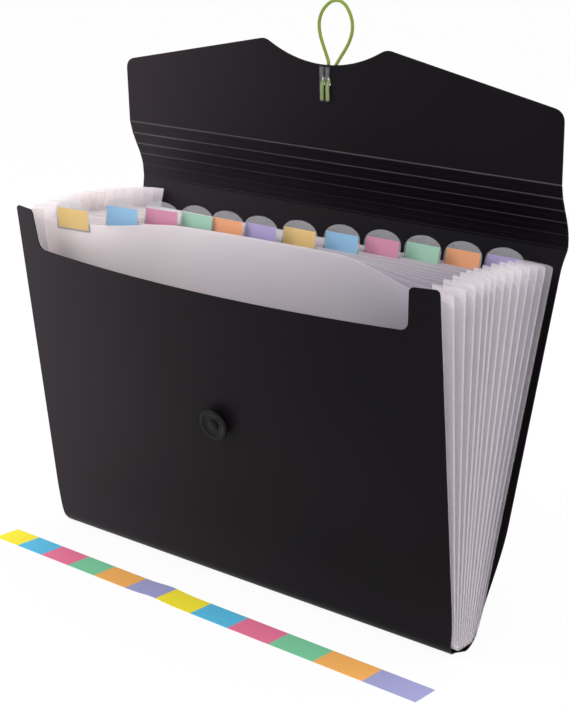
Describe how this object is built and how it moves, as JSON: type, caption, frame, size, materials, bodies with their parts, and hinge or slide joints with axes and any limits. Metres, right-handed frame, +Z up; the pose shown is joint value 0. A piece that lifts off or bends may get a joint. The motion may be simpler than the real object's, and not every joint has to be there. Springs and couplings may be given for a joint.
{
  "type": "expanding file folder",
  "caption": "Expanding file folder with pleated pockets, arched label tabs, a creased top flap and an elastic loop that closes on a button.",
  "frame": {"origin": "on the floor under the spine, midway across the width and between the lower edges of the covers", "axes": "+X to the right seen from the front, +Y from the front cover to the back cover, +Z up"},
  "size_m": [0.3544, 0.1472, 0.3813],
  "materials": {
    "cover": "fine satin grain",
    "button": "satin moulded",
    "frosted": "frosted translucent",
    "clear": "clear and glossy",
    "steel": "satin",
    "elastic": "fine round braid",
    "strip": "matte printed paper in plain colour fields",
    "label_yellow": "matte paper",
    "label_blue": "matte paper",
    "label_pink": "matte paper",
    "label_green": "matte paper",
    "label_orange": "matte paper",
    "label_purple": "matte paper"
  },
  "bodies": {
    "spine": {"spine": "cover", "gusset_left": "frosted", "gusset_right": "frosted"},
    "front_cover": {"front_cover": "cover", "button": "button", "button_rivet": "button", "button_washer": "steel"},
    "divider_01": {"divider_01": "frosted", "tab_01": "clear", "label_01": "label_yellow"},
    "divider_02": {"divider_02": "frosted", "tab_02": "clear", "label_02": "label_blue"},
    "divider_03": {"divider_03": "frosted", "tab_03": "clear", "label_03": "label_pink"},
    "divider_04": {"divider_04": "frosted", "tab_04": "clear", "label_04": "label_green"},
    "divider_05": {"divider_05": "frosted", "tab_05": "clear", "label_05": "label_orange"},
    "divider_06": {"divider_06": "frosted", "tab_06": "clear", "label_06": "label_purple"},
    "divider_07": {"divider_07": "frosted", "tab_07": "clear", "label_07": "label_yellow"},
    "divider_08": {"divider_08": "frosted", "tab_08": "clear", "label_08": "label_blue"},
    "divider_09": {"divider_09": "frosted", "tab_09": "clear", "label_09": "label_pink"},
    "divider_10": {"divider_10": "frosted", "tab_10": "clear", "label_10": "label_green"},
    "divider_11": {"divider_11": "frosted", "tab_11": "clear", "label_11": "label_orange"},
    "divider_12": {"divider_12": "frosted", "tab_12": "clear", "label_12": "label_purple"},
    "back_cover": {"back_cover": "cover"},
    "lower_creases": {"crease_strip_1": "cover", "crease_strip_2": "cover"},
    "upper_creases": {"crease_strip_3": "cover", "crease_strip_4": "cover", "crease_strip_5": "cover"},
    "flap": {"flap": "cover", "elastic_loop": "elastic", "loop_sleeve": "clear"},
    "label_strip": {"label_strip": "strip"}
  },
  "joints": [
    {"name": "front_hinge", "type": "hinge", "parent": "spine", "child": "front_cover", "pos_m": [0, -0.0148, 0.00797], "axis": [1, 0, 0], "range_deg": [-11.36, 0], "deforming": ["gusset_left", "gusset_right"]},
    {"name": "divider_01_fold", "type": "hinge", "parent": "spine", "child": "divider_01", "pos_m": [0, -0.0123, 0.00705], "axis": [1, 0, 0], "range_deg": [-9.43, 0]},
    {"name": "divider_02_fold", "type": "hinge", "parent": "spine", "child": "divider_02", "pos_m": [0, -0.00972, 0.00428], "axis": [1, 0, 0], "range_deg": [-6.61, 0]},
    {"name": "divider_03_fold", "type": "hinge", "parent": "spine", "child": "divider_03", "pos_m": [0, -0.00754, 0.004], "axis": [1, 0, 0], "range_deg": [-4.23, 0]},
    {"name": "divider_04_fold", "type": "hinge", "parent": "spine", "child": "divider_04", "pos_m": [0, -0.00539, 0.004], "axis": [1, 0, 0], "range_deg": [-2.37, 0]},
    {"name": "divider_05_fold", "type": "hinge", "parent": "spine", "child": "divider_05", "pos_m": [0, -0.00323, 0.004], "axis": [1, 0, 0], "range_deg": [-0.96, 0]},
    {"name": "divider_06_fold", "type": "hinge", "parent": "spine", "child": "divider_06", "pos_m": [0, -0.00108, 0.004], "axis": [1, 0, 0], "range_deg": [0, 0.24]},
    {"name": "divider_07_fold", "type": "hinge", "parent": "spine", "child": "divider_07", "pos_m": [0, 0.00108, 0.004], "axis": [1, 0, 0], "range_deg": [0, 2.36]},
    {"name": "divider_08_fold", "type": "hinge", "parent": "spine", "child": "divider_08", "pos_m": [0, 0.00323, 0.004], "axis": [1, 0, 0], "range_deg": [0, 4.47]},
    {"name": "divider_09_fold", "type": "hinge", "parent": "spine", "child": "divider_09", "pos_m": [0, 0.00539, 0.004], "axis": [1, 0, 0], "range_deg": [0, 6.59]},
    {"name": "divider_10_fold", "type": "hinge", "parent": "spine", "child": "divider_10", "pos_m": [0, 0.00754, 0.004], "axis": [1, 0, 0], "range_deg": [0, 8.71]},
    {"name": "divider_11_fold", "type": "hinge", "parent": "spine", "child": "divider_11", "pos_m": [0, 0.00969, 0.004], "axis": [1, 0, 0], "range_deg": [0, 10.83]},
    {"name": "divider_12_fold", "type": "hinge", "parent": "spine", "child": "divider_12", "pos_m": [0, 0.01185, 0.004], "axis": [1, 0, 0], "range_deg": [0, 12.95]},
    {"name": "back_fold", "type": "hinge", "parent": "spine", "child": "back_cover", "pos_m": [0, 0.01376, 0.00303], "axis": [1, 0, 0], "range_deg": [0, 15.07]},
    {"name": "flap_hinge", "type": "hinge", "parent": "back_cover", "child": "lower_creases", "pos_m": [0, 0.07278, 0.24339], "axis": [1, 0, 0], "range_deg": [-150, 0]},
    {"name": "crease_fold", "type": "hinge", "parent": "lower_creases", "child": "upper_creases", "pos_m": [0, 0.06778, 0.26038], "axis": [1, 0, 0], "range_deg": [0, 63.82]},
    {"name": "flap_fold", "type": "hinge", "parent": "upper_creases", "child": "flap", "pos_m": [0, 0.05624, 0.28404], "axis": [1, 0, 0], "range_deg": [0, 86.92]},
    {"name": "label_strip_lift", "type": "slide", "parent": "spine", "child": "label_strip", "axis": [0, 0, 1], "range_m": [0, 0.05]}
  ],
  "couplings": [
    {"joint": "divider_01_fold", "follows": "front_hinge", "ratio": 0.75342},
    {"joint": "divider_02_fold", "follows": "front_hinge", "ratio": 0.52748},
    {"joint": "divider_03_fold", "follows": "front_hinge", "ratio": 0.33728},
    {"joint": "divider_04_fold", "follows": "front_hinge", "ratio": 0.18837},
    {"joint": "divider_05_fold", "follows": "front_hinge", "ratio": 0.0752},
    {"joint": "divider_06_fold", "follows": "front_hinge", "ratio": -0.01733},
    {"joint": "divider_07_fold", "follows": "front_hinge", "ratio": -0.18689},
    {"joint": "divider_08_fold", "follows": "front_hinge", "ratio": -0.35645},
    {"joint": "divider_09_fold", "follows": "front_hinge", "ratio": -0.526},
    {"joint": "divider_10_fold", "follows": "front_hinge", "ratio": -0.69556},
    {"joint": "divider_11_fold", "follows": "front_hinge", "ratio": -0.86511},
    {"joint": "divider_12_fold", "follows": "front_hinge", "ratio": -1.0347},
    {"joint": "back_fold", "follows": "front_hinge", "ratio": -1.2042},
    {"joint": "crease_fold", "follows": "front_hinge", "ratio": -5.1056},
    {"joint": "flap_fold", "follows": "front_hinge", "ratio": -6.9542}
  ]
}
